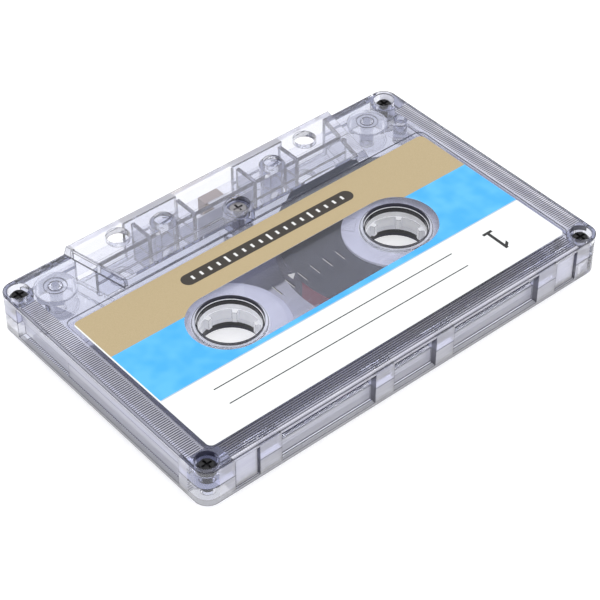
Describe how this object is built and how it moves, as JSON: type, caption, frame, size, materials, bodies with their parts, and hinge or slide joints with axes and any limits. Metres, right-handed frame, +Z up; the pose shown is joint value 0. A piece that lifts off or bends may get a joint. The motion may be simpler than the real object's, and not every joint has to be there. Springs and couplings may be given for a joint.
{
  "type": "audio cassette tape",
  "caption": "Flat clear cassette with two toothed reel hubs, wound tape, guide rollers, a sprung pressure pad, a thick head section, labels and screws.",
  "frame": {"origin": "middle of the shell in length and depth, at the lowest face of the head section", "axes": "+X along the long side, to the right when looking at side A with the tape edge nearest; -Y towards the tape edge; +Z up out of side A"},
  "size_m": [0.1004, 0.0638, 0.012],
  "materials": {
    "clear_shell": "clear, polished, slightly smoky",
    "label": "printed paper",
    "slip_film": "thin clear film",
    "hub_plastic": "translucent",
    "tape": "dark, wound edge",
    "leader": "translucent leader",
    "roller_plastic": "translucent",
    "felt": "felt",
    "spring_metal": "bright strip",
    "shield_metal": "thin sheet",
    "screw_black": "black",
    "screw_bright": "bright"
  },
  "bodies": {
    "shell": {"shell_a": "clear_shell", "shell_b": "clear_shell", "label_a": "label", "label_b": "label", "slip_sheet_a": "slip_film", "slip_sheet_b": "slip_film", "tape_strand": "leader", "pad_spring": "spring_metal", "shield_plate": "shield_metal", "screw_front_left": "screw_black", "screw_rear_left": "screw_black", "screw_front_right": "screw_black", "screw_rear_right": "screw_black", "screw_centre": "screw_bright"},
    "supply_reel": {"supply_hub": "hub_plastic", "supply_hub_clamp": "hub_plastic", "supply_tape_pack": "tape"},
    "takeup_reel": {"takeup_hub": "hub_plastic", "takeup_hub_clamp": "hub_plastic", "takeup_leader_winding": "leader"},
    "left_roller": {"guide_roller_left": "roller_plastic"},
    "right_roller": {"guide_roller_right": "roller_plastic"},
    "pad": {"pressure_pad": "felt"}
  },
  "joints": [
    {"name": "supply_hub_spin", "type": "hinge", "parent": "shell", "child": "supply_reel", "pos_m": [-0.02125, 0.0033, 0.006], "axis": [0, 0, 1], "continuous": true},
    {"name": "takeup_hub_spin", "type": "hinge", "parent": "shell", "child": "takeup_reel", "pos_m": [0.02125, 0.0033, 0.006], "axis": [0, 0, 1], "continuous": true},
    {"name": "left_roller_spin", "type": "hinge", "parent": "shell", "child": "left_roller", "pos_m": [-0.0403, -0.0266, 0.006], "axis": [0, 0, 1], "continuous": true},
    {"name": "right_roller_spin", "type": "hinge", "parent": "shell", "child": "right_roller", "pos_m": [0.0403, -0.0266, 0.006], "axis": [0, 0, 1], "continuous": true},
    {"name": "pad_press", "type": "slide", "parent": "shell", "child": "pad", "axis": [0, 1, 0], "range_m": [0, 0.0012], "stiffness_N_per_m": 150, "deforming": ["pad_spring"]}
  ],
  "couplings": [
    {"joint": "takeup_hub_spin", "follows": "supply_hub_spin", "ratio": 1.9836},
    {"joint": "left_roller_spin", "follows": "supply_hub_spin", "ratio": 6.2051},
    {"joint": "right_roller_spin", "follows": "supply_hub_spin", "ratio": 6.2051}
  ]
}
